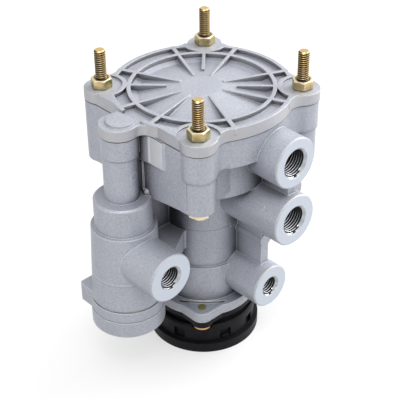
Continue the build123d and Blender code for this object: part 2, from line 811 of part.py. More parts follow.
# Upper piston: rim with a ring groove, web and hub that pushes the relay piston
ring_groove = ring_section + ring_room
with BuildPart() as upper_piston:
    post(housing_bore_r - running_gap, upper_piston_top, upper_piston_bottom)
    with BuildSketch(Plane.XY.offset(upper_piston_bottom)):
        Circle(housing_bore_r - piston_wall)
        Circle(upper_hub_r, mode=Mode.SUBTRACT)
    extrude(amount=upper_piston_rim - upper_piston_web, mode=Mode.SUBTRACT)
    post(upper_hub_r, upper_piston_bottom, relay_top + fixed_gap)
    upper_groove_z = upper_piston_bottom + upper_piston_rim / 2
    with BuildSketch(Plane.XY.offset(upper_groove_z - ring_groove / 2)):
        Circle(housing_bore_r)
        Circle(housing_bore_r - running_gap - ring_groove, mode=Mode.SUBTRACT)
    extrude(amount=ring_groove, mode=Mode.SUBTRACT)
upper_piston.part.label = "upper_piston"

# Relay piston: head with a ring groove and hollow stem, whose rim is the exhaust seat
with BuildPart() as relay_piston:
    post(main_bore_r - running_gap, relay_top, relay_bottom)
    post(relay_stem_r, relay_bottom, relay_rim_z)
    bore(relay_stem_bore_r, relay_bottom + relay_roof, relay_rim_z)
    relay_groove_z = (relay_top + relay_bottom) / 2
    with BuildSketch(Plane.XY.offset(relay_groove_z - ring_groove / 2)):
        Circle(main_bore_r)
        Circle(main_bore_r - running_gap - ring_groove, mode=Mode.SUBTRACT)
    extrude(amount=ring_groove, mode=Mode.SUBTRACT)
relay_piston.part.label = "relay_piston"

# Inlet valve: rubber ring on the plate of its hollow sleeve
with BuildPart() as inlet_valve:
    post(valve_r, valve_top, sleeve_top)
    bore(valve_hole_r, valve_top, sleeve_top)
inlet_valve.part.label = "inlet_valve"
with BuildPart() as valve_sleeve:
    post(sleeve_plate_r, sleeve_top, sleeve_top - sleeve_plate)
    post(sleeve_r, sleeve_top, sleeve_top - sleeve_length)
    bore(sleeve_bore_r, sleeve_top, sleeve_top - sleeve_length)
valve_sleeve.part.label = "valve_sleeve"

# Guide for the sleeve, with two ring grooves outside, one inside and a waist in front of the lower port
with BuildPart() as valve_guide:
    post(guide_bore_r - fixed_gap, guide_shoulder, guide_foot)
    post(guide_neck_r, guide_neck_top, guide_shoulder)
    with BuildSketch(Plane.XY.offset(guide_shoulder - guide_head)):
        Circle(guide_bore_r)
        Circle(guide_waist_r, mode=Mode.SUBTRACT)
    extrude(amount=-guide_waist_height, mode=Mode.SUBTRACT)
    bore(sleeve_r + running_gap, guide_neck_top, guide_foot)
    with BuildSketch(Plane.XY.offset(guide_foot)):
        Circle(guide_mouth_r)
    extrude(amount=guide_mouth_r - sleeve_r, taper=45, mode=Mode.SUBTRACT)
    for middle in guide_groove_places:
        with BuildSketch(Plane.XY.offset(middle - ring_groove / 2)) as groove:
            Circle(guide_bore_r)
            Circle(guide_bore_r - fixed_gap - ring_groove, mode=Mode.SUBTRACT)
        extrude(groove.sketch, amount=ring_groove, mode=Mode.SUBTRACT)
    with BuildSketch(Plane.XY.offset(sleeve_seal_z - ring_groove / 2)):
        Circle(sleeve_r + running_gap + ring_groove)
    extrude(amount=ring_groove, mode=Mode.SUBTRACT)
valve_guide.part.label = "valve_guide"

# Retaining ring under the guide
with BuildPart() as guide_circlip:
    post(guide_bore_r + circlip_bite, guide_foot - fixed_gap, guide_foot - fixed_gap - circlip_thickness)
    bore(guide_bore_r - circlip_width, guide_foot - fixed_gap, guide_foot - fixed_gap - circlip_thickness)
    with BuildSketch(Plane.XY.offset(guide_foot - fixed_gap)):
        with Locations((guide_bore_r, 0)):
            Rectangle(2 * circlip_width + 4, circlip_opening)
    extrude(amount=-circlip_thickness, mode=Mode.SUBTRACT)
guide_circlip.part.label = "guide_circlip"

# Side piston: head and wider land, each with a ring groove, joined by a stem
with BuildPart() as side_piston:
    side_groove_places = []
    for land_r, top, height in (
        (side_bore_r, side_piston_top, side_head),
        (side_lower_bore_r, side_land_top, side_land),
    ):
        post(land_r - running_gap, top, top - height, side_axis)
        side_groove_places.append(top - height / 2)
        with BuildSketch(Plane((*side_axis, top - height / 2 - ring_groove / 2))) as groove:
            Circle(land_r)
            Circle(land_r - running_gap - ring_groove, mode=Mode.SUBTRACT)
        extrude(groove.sketch, amount=ring_groove, mode=Mode.SUBTRACT)
    post(side_stem_r, side_piston_top, side_land_top, side_axis)
side_piston.part.label = "side_piston"

# End cap, screwed into the side cylinder from below
with BuildPart() as side_end_cap:
    post(cap_r, cap_top, cap_top - cap_height, side_axis)
    chamfer(circle_edges(side_end_cap, cap_r, "Z", cap_top - cap_height), cap_edge)
    post(side_lower_bore_r - fixed_gap, cap_spigot_top, cap_top, side_axis)
    bore(cap_recess_r, cap_spigot_top, cap_spigot_top - cap_recess_depth, side_axis)
    with BuildSketch(Plane((*side_axis, cap_seal_z - ring_groove / 2))) as groove:
        Circle(side_lower_bore_r)
        Circle(side_lower_bore_r - fixed_gap - ring_groove, mode=Mode.SUBTRACT)
    extrude(groove.sketch, amount=ring_groove, mode=Mode.SUBTRACT)
side_end_cap.part.label = "side_end_cap"

static_seal_z = parting_z - ring_room / 2 - ring_section / 2
seals = [
    seal_ring("cover_seal", cover_seal_outer_r, static_seal_z),
    seal_ring("tube_seal", tube_seal_outer_r, static_seal_z, side_axis),
    seal_ring("upper_piston_ring", housing_bore_r - running_gap, upper_groove_z),
    seal_ring("relay_piston_ring", main_bore_r - running_gap, relay_groove_z),
    seal_ring("guide_seal_upper", guide_bore_r - fixed_gap, guide_groove_places[0]),
    seal_ring("guide_seal_lower", guide_bore_r - fixed_gap, guide_groove_places[1]),
    seal_ring("sleeve_seal", sleeve_r + running_gap + ring_section, sleeve_seal_z),
    seal_ring("side_piston_ring", side_bore_r - running_gap, side_groove_places[0], side_axis),
    seal_ring("side_land_ring", side_lower_bore_r - running_gap, side_groove_places[1], side_axis),
    seal_ring("side_cap_seal", side_lower_bore_r - fixed_gap, cap_seal_z, side_axis),
]
springs = [
    coil_spring(
        "piston_spring", main_spring_r, main_spring_wire, housing_floor_z, upper_web_z, main_spring_turns
    ),
    coil_spring(
        "valve_spring", valve_spring_r, spring_wire, guide_shoulder, sleeve_top - sleeve_plate, valve_spring_turns
    ),
    coil_spring(
        "side_spring",
        side_spring_r,
        spring_wire,
        cap_spigot_top - cap_recess_depth,
        side_land_top - side_land,
        side_spring_turns,
        side_axis,
    ),
]

built = [
    valve_body, top_cover, clamp_bolts, clamp_nuts, silencer_screws, exhaust_silencer, silencer_guard,
    exhaust_flap, upper_piston, relay_piston, inlet_valve, valve_sleeve, valve_guide, guide_circlip,
    side_piston, side_end_cap,
]
os.makedirs("parts", exist_ok=True)
for piece in [builder.part for builder in built] + seals + springs:
    export_step(piece, f"parts/{piece.label}.step")
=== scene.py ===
"""Trailer control valve: finishes, screw threads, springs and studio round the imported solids."""

import json
import logging
import math
from dataclasses import dataclass
from enum import Enum
from typing import Any, Union

import bmesh
import bpy
import numpy as np
from mathutils import Matrix, Vector


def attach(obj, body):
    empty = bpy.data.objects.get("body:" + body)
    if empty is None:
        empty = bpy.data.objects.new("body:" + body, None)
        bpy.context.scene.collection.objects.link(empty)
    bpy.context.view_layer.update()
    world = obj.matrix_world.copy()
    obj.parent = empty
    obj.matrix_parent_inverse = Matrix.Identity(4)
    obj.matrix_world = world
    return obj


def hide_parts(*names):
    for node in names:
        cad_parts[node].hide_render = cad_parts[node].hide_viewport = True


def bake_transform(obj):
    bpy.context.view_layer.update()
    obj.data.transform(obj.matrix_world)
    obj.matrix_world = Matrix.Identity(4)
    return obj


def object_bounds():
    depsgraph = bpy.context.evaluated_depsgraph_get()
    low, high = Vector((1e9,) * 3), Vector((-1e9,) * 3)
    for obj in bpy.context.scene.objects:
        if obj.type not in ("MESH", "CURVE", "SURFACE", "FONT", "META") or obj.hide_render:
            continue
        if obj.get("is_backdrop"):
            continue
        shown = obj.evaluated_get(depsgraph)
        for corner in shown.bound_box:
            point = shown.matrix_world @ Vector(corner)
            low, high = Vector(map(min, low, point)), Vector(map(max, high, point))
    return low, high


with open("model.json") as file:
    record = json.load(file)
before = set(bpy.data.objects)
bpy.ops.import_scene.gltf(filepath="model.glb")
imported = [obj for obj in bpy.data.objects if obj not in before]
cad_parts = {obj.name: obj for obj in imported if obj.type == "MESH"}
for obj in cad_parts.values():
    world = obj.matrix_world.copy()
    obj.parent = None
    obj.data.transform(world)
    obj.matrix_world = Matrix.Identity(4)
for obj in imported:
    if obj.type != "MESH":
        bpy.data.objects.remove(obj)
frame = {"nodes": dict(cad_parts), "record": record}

log = logging.getLogger("valve")
GROOVE = "groove"
MM = 0.001
Colour = tuple[float, float, float]
Place = tuple[float, float, float]
Band = tuple[float, float]
Number = Union[float, "Channel"]

# Places on the valve, in millimetres. Z is 0 at the top of the four cover nuts.
BOLT_HALF_PITCH = 48.5
PARTING_Z = -14.6
COVER_SIDE_Z = -14.2
SIDE_AXIS = (-72.5, 2.0)


class Channel:
    """One number that varies over a surface, with its maths written as Python expressions."""

    def __init__(self, paint: "Paint", socket: bpy.types.NodeSocket) -> None:
        """Keeps the socket and the paint whose tree it is in."""
        self.paint = paint
        self.socket = socket

    def join(self, operation: str, *terms: Number) -> "Channel":
        """Adds one Math node.

        Args:
            operation: the node's operation.
            terms: the numbers or channels of its inputs, in order.

        Returns:
            The channel of the node's result.
        """
        node = self.paint.node("ShaderNodeMath", {"operation": operation}, dict(enumerate(terms)))
        return Channel(self.paint, node.outputs[0])

    def __add__(self, other: Number) -> "Channel":
        """Sum."""
        return self.join("ADD", self, other)

    __radd__ = __add__

    def __sub__(self, other: Number) -> "Channel":
        """Difference."""
        return self.join("SUBTRACT", self, other)

    def __rsub__(self, other: Number) -> "Channel":
        """Difference from a plain number."""
        return self.join("SUBTRACT", other, self)

    def __mul__(self, other: Number) -> "Channel":
        """Product."""
        return self.join("MULTIPLY", self, other)

    def most(self, other: Number) -> "Channel":
        """The larger of the two."""
        return self.join("MAXIMUM", self, other)

    def away(self, value: float) -> "Channel":
        """Distance of the channel from the value."""
        return self.join("ABSOLUTE", self - value)

    def near(self, value: float, room: float) -> "Channel":
        """1 where the channel lies within room of the value, else 0."""
        return self.join("COMPARE", self, value, room)

    def below(self, value: float) -> "Channel":
        """1 where the channel is under the value, else 0."""
        return self.join("LESS_THAN", self, value)

    def between(self, low: float, high: float) -> "Channel":
        """1 where the channel is at least low and under high, else 0."""
        return self.below(high) * (1.0 - self.below(low))

    def lifted(self, least: float) -> "Channel":
        """A share from 0 to 1, squeezed into the room from least to 1."""
        return self * (1.0 - least) + least

    def ramp(self, low: float, high: float) -> "Channel":
        """Smooth step from 0 at low to 1 at high."""
        node = self.paint.node(
            "ShaderNodeMapRange",
            {"interpolation_type": "SMOOTHSTEP", "clamp": True},
            {"Value": self, "From Min": low, "From Max": high},
        )
        return Channel(self.paint, node.outputs[0])


def square_distance(first: Channel, second: Channel) -> Channel:
    """Square of the distance from where both are 0."""
    return first * first + second * second


@dataclass(frozen=True)
class Tint:
    """A colour laid over another, and the share of it that shows where its mask is 1."""

    colour: Colour
    share: float = 1.0


class Paint:
    """The node tree of one material, in which every node comes from one method."""

    bevel_samples = 10
    hollow_samples = 6
    edge_turn = (0.005, 0.1)

    def __init__(self, name: str) -> None:
        """Starts an empty tree under the material's name."""
        self.material = bpy.data.materials.new(name)
        self.material.use_nodes = True
        self.tree = self.material.node_tree
        self.tree.nodes.clear()
        self._place: Any = None

    def node(
        self, kind: str, settings: dict[str, Any], inputs: dict[Any, Any]
    ) -> bpy.types.Node:
        """Adds a node.

        Args:
            kind: the node's type.
            settings: its own settings, which are set first.
            inputs: values, or channels and sockets to link, by the name or number of its sockets.

        Returns:
            The node.
        """
        made = self.tree.nodes.new(kind)
        for key, value in settings.items():
            setattr(made, key, value)
        for key, value in inputs.items():
            socket = made.inputs[key]
            if isinstance(value, Channel):
                self.tree.links.new(value.socket, socket)
            elif isinstance(value, bpy.types.NodeSocket):
                self.tree.links.new(value, socket)
            elif isinstance(value, tuple) and socket.type == "RGBA":
                socket.default_value = (*value, 1.0)
            else:
                socket.default_value = value
        return made

    def place(self) -> bpy.types.NodeSocket:
        """Object coordinates, in metres."""
        if self._place is None:
            self._place = self.node("ShaderNodeTexCoord", {}, {}).outputs["Object"]
        return self._place

    def axes(self) -> tuple[Channel, Channel, Channel]:
        """X, Y and Z of the object coordinates."""
        split = self.node("ShaderNodeSeparateXYZ", {}, {0: self.place()})
        x, y, z = (Channel(self, output) for output in split.outputs)
        return x, y, z

    def from_upright(self, x: float = 0.0, y: float = 0.0) -> Channel:
        """Square of the distance from an upright axis at x and y in millimetres, in metres."""
        across, along, _ = self.axes()
        return square_distance(across - x * MM, along - y * MM)

    def from_bolt(self) -> Channel:
        """Square of the distance from the axis of the nearest cover bolt, in metres."""
        x, y, _ = self.axes()
        half = BOLT_HALF_PITCH * MM
        return square_distance(x.away(0.0) - half, y.away(0.0) - half)

    def surface_normal(self) -> bpy.types.NodeSocket:
        """The way the surface points."""
        return self.node("ShaderNodeNewGeometry", {}, {}).outputs["Normal"]

    def upward(self) -> Channel:
        """How far the surface faces up: 1 on level ground, 0 on a wall."""
        split = self.node("ShaderNodeSeparateXYZ", {}, {0: self.surface_normal()})
        return Channel(self, split.outputs[2])

    def wall(self, band: Band) -> Channel:
        """1 on walls, falling to 0 on level ground within a band of upward()."""
        return 1.0 - self.upward().ramp(*band)

    def facing(self, size: float) -> Channel:
        """Noise over the way the surface points, as if it mirrored a room of light and dark."""
        return self.noise(size, 1.0, 0.5, self.surface_normal())

    def attribute(self, name: str) -> Channel:
        """A number stored on the points of the piece."""
        node = self.node("ShaderNodeAttribute", {"attribute_name": name}, {})
        return Channel(self, node.outputs["Fac"])

    def distance(self, point: Place) -> Channel:
        """Distance from a point given in millimetres, in metres."""
        ends = {0: self.place(), 1: tuple(value * MM for value in point)}
        node = self.node("ShaderNodeVectorMath", {"operation": "DISTANCE"}, ends)
        return Channel(self, node.outputs["Value"])

    def noise(
        self, size: float, detail: float = 2.0, rough: float = 0.5, place: Any = None
    ) -> Channel:
        """Noise between 0 and 1.

        Args:
            size: size of its largest spots, in metres.
            detail: number of finer layers.
            rough: how much the finer layers count.
            place: coordinates, or None for the object's own.

        Returns:
            The channel of its value.
        """
        inputs = {"Scale": 1 / size, "Detail": detail, "Roughness": rough}
        inputs["Vector"] = place or self.place()
        return Channel(self, self.node("ShaderNodeTexNoise", {}, inputs).outputs[0])

    def mix(self, first: Any, second: Any, share: Number) -> bpy.types.NodeSocket:
        """Colour that goes from first to second as share goes from 0 to 1."""
        made = self.node("ShaderNodeMix", {"data_type": "RGBA"}, {0: share, 6: first, 7: second})
        return made.outputs[2]

    def tint(self, base: Any, over: Tint, mask: Channel) -> bpy.types.NodeSocket:
        """The base with a tint laid over it where the mask is 1."""
        return self.mix(base, over.colour, mask * over.share)

    def blend(self, first: Any, second: Any, share: Channel) -> bpy.types.NodeSocket:
        """Direction that goes from first to second as share goes from 0 to 1."""
        made = self.node("ShaderNodeMix", {"data_type": "VECTOR"}, {0: share, 4: first, 5: second})
        return made.outputs[1]

    def rounded(self, radius: float) -> tuple[bpy.types.NodeSocket, Channel]:
        """Rounds the edges in shading.

        Args:
            radius: the radius of the rounding, in metres.

        Returns:
            The rounded normal, and a channel that grows from 0 on flat ground to 1 on an edge.
        """
        settings = {"samples": self.bevel_samples}
        bevel = self.node("ShaderNodeBevel", settings, {"Radius": radius}).outputs[0]
        pair = {0: bevel, 1: self.surface_normal()}
        same = self.node("ShaderNodeVectorMath", {"operation": "DOT_PRODUCT"}, pair)
        return bevel, (1.0 - Channel(self, same.outputs["Value"])).ramp(*self.edge_turn)

    def hollows(self, reach: float) -> Channel:
        """Grows from 0 in the open to 1 in a hollow, where other surfaces are within reach."""
        settings = {"samples": self.hollow_samples}
        node = self.node("ShaderNodeAmbientOcclusion", settings, {"Distance": reach})
        return 1.0 - Channel(self, node.outputs["AO"])

    def bump(self, height: Channel, depth: float, normal: Any) -> bpy.types.NodeSocket:
        """Normal raised by a height channel, depth metres high at 1."""
        inputs = {"Strength": 1.0, "Distance": depth, "Height": height, "Normal": normal}
        return self.node("ShaderNodeBump", {}, inputs).outputs[0]

    def finish(self, surface: dict[str, Any]) -> bpy.types.Material:
        """Closes the tree with one Principled shader.

        Args:
            surface: values and links of its sockets.

        Returns:
            The material.
        """
        shader = self.node("ShaderNodeBsdfPrincipled", {}, surface)
        self.node("ShaderNodeOutputMaterial", {}, {"Surface": shader.outputs[0]})
        return self.material


class Axis(Enum):
    """The way a port's mouth points."""

    FRONT = "y"
    RIGHT = "x"


@dataclass(frozen=True)
class Port:
    """One threaded port: its face along the axis, its place across it, and its radii.

    All in millimetres. The face is machined, and its outer edge is pale: bare wear, and a painted
    highlight.
    """

    name: str
    axis: Axis
    face: float
    across: float
    z: float
    boss_r: float
    thread_r: float
    face_room: float = 0.05
    rim_out: float = 0.4
    rim_in: float = 0.9
    rim_depth: float = 0.4
    rim_room: float = 0.55

    def axes(self, paint: Paint) -> tuple[Channel, Channel]:
        """The place along the port's axis, and the square of the distance from it, in metres."""
        x, y, z = paint.axes()
        along, across = (y, x) if self.axis is Axis.FRONT else (x, y)
        return along, square_distance(across - self.across * MM, z - self.z * MM)

    def machined(self, paint: Paint) -> Channel:
        """1 on the port's faced ring and its edge, 0 elsewhere on the casting."""
        along, square = self.axes(paint)
        inside = square.below(((self.boss_r + self.rim_out) * MM) ** 2)
        return along.near(self.face * MM, self.face_room * MM) * inside

    def rim_wear_and_highlight(self, paint: Paint) -> Channel:
        """1 on the narrow sloped edge round the face, 0 elsewhere."""
        along, square = self.axes(paint)
        inward = math.copysign(self.rim_depth, -self.face)
        inner, outer = self.boss_r - self.rim_in, self.boss_r + self.rim_out
        ring = square.between((inner * MM) ** 2, (outer * MM) ** 2)
        return along.near((self.face + inward) * MM, self.rim_room * MM) * ring

    def matrix(self) -> Matrix:
        """Turns a shape whose axis is +Z, the way out of the mouth, into the port's place."""
        if self.axis is Axis.FRONT:
            turn, centre = "X", Vector((self.across, self.face, self.z))
        else:
            turn, centre = "Y", Vector((self.face, self.across, self.z))
        quarter = Matrix.Rotation(math.radians(90), 4, turn)
        return Matrix.Translation(centre * MM) @ quarter @ Matrix.Scale(MM, 4)


PORTS = (
    Port("top", Axis.FRONT, -80.0, 9.6, -37.2, 18.6, 10.2),
    Port("middle", Axis.FRONT, -81.4, 9.6, -82.1, 19.1, 10.2),
    Port("lower", Axis.FRONT, -61.0, 9.6, -150.5, 16.5, 7.2),
    Port("side", Axis.FRONT, -46.0, -72.5, -107.6, 18.0, 8.2),
    Port("right", Axis.RIGHT, 76.0, -12.0, -108.0, 17.0, 10.2),
)


@dataclass(frozen=True)
class Stamp:
    """A round mark left in the casting by the mould, in millimetres."""

    centre: Place
    radius: float
    slope: float = 0.25
    line: float = 0.35

    def disc(self, paint: Paint) -> Channel:
        """1 inside the mark, 0 outside, with a narrow slope between."""
        low, high = (self.radius - self.slope) * MM, (self.radius + self.slope) * MM
        return 1.0 - paint.distance(self.centre).ramp(low, high)

    def outline(self, paint: Paint) -> Channel:
        """1 on the mark's edge, 0 elsewhere."""
        return paint.distance(self.centre).near(self.radius * MM, self.line * MM)


@dataclass(frozen=True)
class Line:
    """A level line painted round the casting, in millimetres: painted shade in a seam or under a
    step, a painted highlight on a step's edge, or a faint dark mould mark.

    It shows only inside an upright cylinder, so that it stays on its own part of the casting.
    It fades out between two shares of its half width.
    """

    z: float
    half: float
    tint: Tint
    x: float = 0.0
    y: float = 0.0
    reach: float = 200.0
    fade: Band = (0.5, 1.3)

    def mask(self, paint: Paint) -> Channel:
        """1 on the line, 0 elsewhere, with soft edges."""
        _, _, z = paint.axes()
        inside = paint.from_upright(self.x, self.y).below((self.reach * MM) ** 2)
        start, end = (self.half * share * MM for share in self.fade)
        off = z.away(self.z * MM).ramp(start, end)
        return inside * (1.0 - off)


STAMPS = (Stamp((-71.2, -10.03, -43.9), 3.1), Stamp((-6.38, -65.54, -71.6), 2.1))
# Colours of the painted lines: dark for shade and marks, pale for a highlight.
DARK_LINE = (0.04, 0.035, 0.03)
LINE_HIGHLIGHT = (0.84, 0.84, 0.84)
LINES = (
    # Painted shade in the seam under the cover's overhang.
    Line(-14.8, 0.5, Tint(DARK_LINE, 0.95)),
    # A dark line round the side tube's collar.
    Line(-30.2, 0.4, Tint(DARK_LINE, 0.85), *SIDE_AXIS, reach=14.0),
    # A faint dark mould line round the main cylinder.
    Line(-107.5, 0.3, Tint(DARK_LINE, 0.4), reach=29.2),
    # Painted highlight on the upper edge of the end cap's step.
    Line(-122.5, 0.6, Tint(LINE_HIGHLIGHT, 0.35), *SIDE_AXIS, reach=25.6),
    # Painted shade under the end cap's step.
    Line(-123.6, 0.5, Tint(DARK_LINE, 0.15), *SIDE_AXIS, reach=25.6),
)


@dataclass(frozen=True)
class CastSkin:
    """Blasted aluminium casting: finely grained, with painted shade in its hollows and recesses.

    Its edges are pale, for both wear and painted highlights. Painted light lies on the cover's
    upright sides and on the side wall's pad. Sizes are in metres, places in millimetres. Bands are
    the values between which a mask comes in.
    """

    name: str = "cast_aluminium"
    plain: Colour = (0.57, 0.595, 0.67)
    cloud: Tint = Tint((0.51, 0.535, 0.61), 0.5)
    speck: Tint = Tint((0.40, 0.42, 0.475), 0.6)
    glint: Tint = Tint((0.70, 0.72, 0.77), 0.6)
    # Painted light: a paler, warmer tone on the cover's upright sides.
    side: Tint = Tint((0.68, 0.67, 0.68), 0.7)
    # Painted shade: recesses, corners and deep walls are darkened where other surfaces are near.
    recess_shade: Tint = Tint((0.06, 0.063, 0.078), 0.9)
    hollow: Tint = Tint((0.05, 0.055, 0.07), 0.8)
    deep_shade: Tint = Tint((0.05, 0.055, 0.07), 0.7)
    # Painted light on the proud pad of the side wall.
    pad: Tint = Tint((0.95, 0.96, 0.99), 0.9)
    # Pale edges: wear, and painted highlights on convex edges and concave fillets.
    edge: Tint = Tint((0.92, 0.925, 0.93), 0.95)
    faced: Tint = Tint((0.62, 0.67, 0.75))
    # Pale port rims: wear, and painted highlights.
    rim: Tint = Tint((0.72, 0.70, 0.66), 0.5)
    # Painted highlight on the rims of the round mould marks.
    stamp: Tint = Tint((0.92, 0.925, 0.93), 0.35)
    cloud_size: float = 0.018
    grain_size: float = 0.0012
    hollow_shade_reach: float = 0.006
    recess_shade_reach: float = 0.035
    edge_r: float = 0.0009
    column_edge_r: float = 0.004
    metallic: float = 0.22
    roughness: float = 0.38
    relief: float = 0.00007
    swell: float = 0.4
    stamp_rise: float = 3.0
    cloud_band: Band = (0.4, 0.7)
    patch_band: Band = (0.3, 0.6)
    speck_band: Band = (0.5, 0.7)
    glint_band: Band = (0.3, 0.48)
    wall_band: Band = (0.35, 0.9)
    worn_band: Band = (0.2, 0.55)
    hollow_shade_band: Band = (0.4, 0.8)
    recess_shade_band: Band = (0.27, 0.7)
    deep_shade_band: Band = (0.5, 0.85)
    cover_edge_cut: float = 0.55
    recess_edge_cut: float = 0.3
    faced_smooth: float = 0.95
    faced_metallic: float = 0.4
    column_r: Band = (19.0, 24.0)
    column_z: Band = (-58.0, -16.0)
    pad_x: Band = (-61.2, -58.6)
    pad_y: Band = (-26.5, 4.0)
    pad_z: float = -36.1
    pad_slope: float = 0.2

    def column(self, paint: Paint) -> Channel:
        """1 on the bolt columns under the cover and the walls beside them, where shapes flow."""
        _, _, z = paint.axes()
        low, high = ((radius * MM) ** 2 for radius in self.column_r)
        foot, top = self.column_z
        near = 1.0 - paint.from_bolt().ramp(low, high)
        return near * z.between(foot * MM, top * MM)

    def lit_pad(self, paint: Paint) -> Channel:
        """1 on the proud pad of the side wall and on to the tube beside it, where light is painted,
        0 elsewhere.
        """
        x, y, z = paint.axes()
        left, right = self.pad_x
        front, back = self.pad_y
        start = y.ramp((front - self.pad_slope) * MM, (front + self.pad_slope) * MM)
        wide = x.between(left * MM, right * MM)
        return wide * start * y.below(back * MM) * (1.0 - z.below(self.pad_z * MM))

    def ports(self, paint: Paint) -> tuple[Channel, Channel]:
        """The machined faces and the pale rims of all ports, for wear and painted highlights."""
        faced, rim = PORTS[0].machined(paint), PORTS[0].rim_wear_and_highlight(paint)
        for port in PORTS[1:]:
            faced = faced.most(port.machined(paint))
            rim = rim.most(port.rim_wear_and_highlight(paint))
        return faced, rim

    def material(self) -> bpy.types.Material:
        """Builds the material."""
        paint = Paint(self.name)
        normal, edge = paint.rounded(self.edge_r)
        wide, _ = paint.rounded(self.column_edge_r)
        _, _, z = paint.axes()
        column = self.column(paint)
        clouds = paint.noise(self.cloud_size, 4.0, 0.6)
        grain = paint.noise(self.grain_size, 2.0, 0.7)
        patches = clouds.ramp(*self.patch_band)
        wall = paint.wall(self.wall_band)
        # Painted shade from occlusion, laid into the colour of recesses, corners and deep walls.
        around = paint.hollows(self.recess_shade_reach)
        recess_shade = around.ramp(*self.recess_shade_band) * wall.lifted(0.5)
        hollow = paint.hollows(self.hollow_shade_reach).ramp(*self.hollow_shade_band) * wall.lifted(0.25)
        hollow = hollow * (1.0 - column)
        cover = z.ramp(PARTING_Z * MM, COVER_SIDE_Z * MM)
        # Pale edges, partly wear and partly painted highlights; fewer on the cover and in painted
        # shade.
        wear_and_highlight = edge * clouds.ramp(*self.worn_band).lifted(0.4) * (1.0 - column)
        wear_and_highlight = wear_and_highlight * (1.0 - cover * self.cover_edge_cut) * (1.0 - recess_shade * self.recess_edge_cut)
        # Painted light on the cover's upright sides, less of it in hollows.
        lit_cover_side = wall * (1.0 - hollow) * cover * patches.lifted(0.4)
        faced, rim = self.ports(paint)
        base = paint.tint(self.plain, self.cloud, clouds.ramp(*self.cloud_band))
        base = paint.tint(base, self.speck, grain.ramp(*self.speck_band))
        base = paint.tint(base, self.glint, 1.0 - grain.ramp(*self.glint_band))
        base = paint.tint(base, self.side, lit_cover_side)
        base = paint.tint(base, self.recess_shade, recess_shade)
        base = paint.tint(base, self.hollow, hollow)
        base = paint.tint(base, self.deep_shade, around.ramp(*self.deep_shade_band) * wall)
        # Painted light on the side wall's pad.
        base = paint.tint(base, self.pad, self.lit_pad(paint) * (1.0 - cover) * wall)
        base = paint.tint(base, self.edge, wear_and_highlight)
        for line in LINES:
            base = paint.tint(base, line.tint, line.mask(paint) * wall)
        base = paint.tint(base, self.faced, faced)
        base = paint.tint(base, self.rim, rim * patches)
        rise = grain * (1.0 - faced * self.faced_smooth) + clouds * self.swell
        for stamp in STAMPS:
            # Painted highlight on each mark's rim.
            base = paint.tint(base, self.stamp, stamp.outline(paint))
            rise = rise + stamp.disc(paint) * self.stamp_rise
        return paint.finish(
            {
                "Base Color": base,
                "Metallic": faced * self.faced_metallic + self.metallic,
                "Roughness": self.roughness + grain * 0.10 - wear_and_highlight * 0.05 - faced * 0.05,
                "Normal": paint.bump(rise, self.relief, paint.blend(normal, wide, column)),
            }
        )


@dataclass(frozen=True)
class YellowZinc:
    """Yellow passivated zinc, glossy: pale gold on top, its sides painted darker tan and olive as
    shade.

    The silencer screws have coppery heads and olive ends. Its sides carry painted reflections of a
    room of light and dark by their direction, with some drift between them. Painted highlights lie
    on its edges, painted shade in its hollows and round the thread on top of the nuts. Sizes are in
    metres, places in millimetres.
    """

    name: str = "yellow_zinc"
    gold: Colour = (0.74, 0.63, 0.43)
    # Painted shade: the sides tan against the pale gold top, and olive where they mirror dark.
    tan: Tint = Tint((0.68, 0.50, 0.28), 0.8)
    shade: Tint = Tint((0.30, 0.27, 0.08), 0.85)
    copper: Tint = Tint((0.62, 0.36, 0.20))
    olive: Tint = Tint((0.30, 0.27, 0.08))
    # Painted highlight on the edges.
    edge: Tint = Tint((0.74, 0.63, 0.43), 0.7)
    # Painted shade in hollows and round the thread on top of the nuts.
    dark: Tint = Tint((0.10, 0.07, 0.02), 0.85)
    drift_size: float = 0.0045
    grain_size: float = 0.0005
    hollow_shade_reach: float = 0.0025
    edge_r: float = 0.0004
    roughness: float = 0.27
    relief: float = 0.00001
    mirror_size: float = 1.1
    mirror_share: float = 0.6
    mirror_band: Band = (0.38, 0.6)
    hollow_shade_band: Band = (0.2, 0.7)
    side_band: Band = (0.2, 0.8)
    bore_r: float = 5.3
    bore_z: float = -0.6
    screw_top: float = -100.0
    screw_head: float = -175.0

    def bore_shade(self, paint: Paint) -> Channel:
        """1 on the narrow ring round the thread on top of the cover nuts, where shade is painted, 0
        elsewhere.
        """
        _, _, z = paint.axes()
        near = paint.from_bolt().below((self.bore_r * MM) ** 2)
        return near * (1.0 - z.below(self.bore_z * MM))

    def material(self) -> bpy.types.Material:
        """Builds the material."""
        paint = Paint(self.name)
        normal, edge = paint.rounded(self.edge_r)
        drift = paint.noise(self.drift_size)
        _, _, z = paint.axes()
        hollow = paint.hollows(self.hollow_shade_reach).ramp(*self.hollow_shade_band)
        side = paint.wall(self.side_band)
        mirrored = paint.facing(self.mirror_size) * self.mirror_share
        mirrored = (mirrored + drift * (1.0 - self.mirror_share)).ramp(*self.mirror_band)
        head, top = self.screw_head * MM, self.screw_top * MM
        base = paint.tint(self.gold, self.tan, side)
        base = paint.tint(base, self.shade, side * mirrored)
        base = paint.tint(base, self.copper, z.below(head))
        base = paint.tint(base, self.olive, z.between(head, top))
        base = paint.tint(base, self.edge, edge)
        base = paint.tint(base, self.dark, hollow)
        base = paint.tint(base, self.dark, self.bore_shade(paint))
        return paint.finish(
            {
                "Base Color": base,
                "Metallic": 1.0,
                "Roughness": self.roughness + drift * 0.1 - edge * 0.05,
                "Normal": paint.bump(paint.noise(self.grain_size), self.relief, normal),
            }
        )


